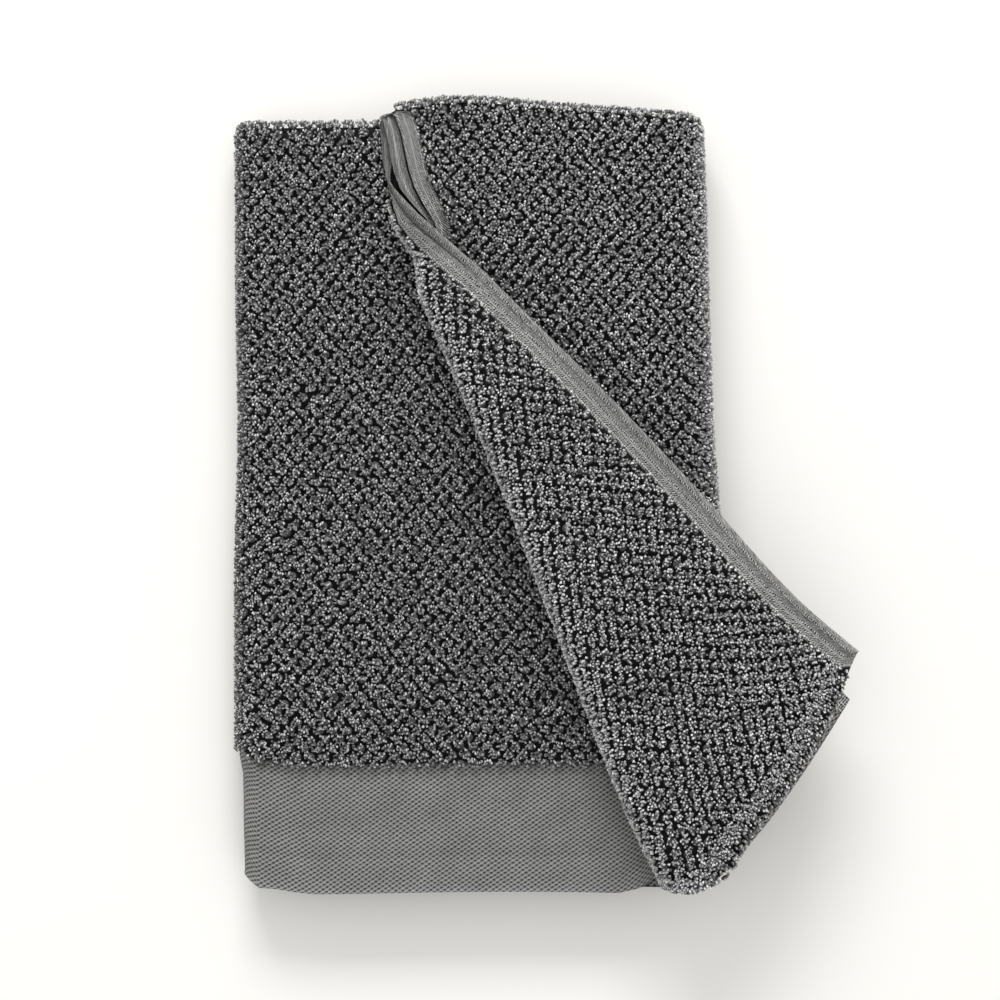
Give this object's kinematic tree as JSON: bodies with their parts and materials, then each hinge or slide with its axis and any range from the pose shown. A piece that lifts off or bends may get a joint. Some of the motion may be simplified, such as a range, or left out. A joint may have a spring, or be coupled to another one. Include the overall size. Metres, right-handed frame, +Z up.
{
  "type": "folded bath towel",
  "caption": "Charcoal cotton terry bath towel, folded in layers to a flat rectangle with one corner turned back; woven border and hems.",
  "frame": {"origin": "on the flat underside, near the middle of the folded body, where it rests", "axes": "+X towards the side where the turned-back corner sticks out, +Y along the towel towards its folded end, +Z up"},
  "size_m": [0.3598, 0.4583, 0.0674],
  "materials": {
    "terry": "matt charcoal cotton terry with short looped pile, flat-woven borders and hems"
  },
  "bodies": {
    "root": {"towel": "terry"}
  },
  "joints": []
}
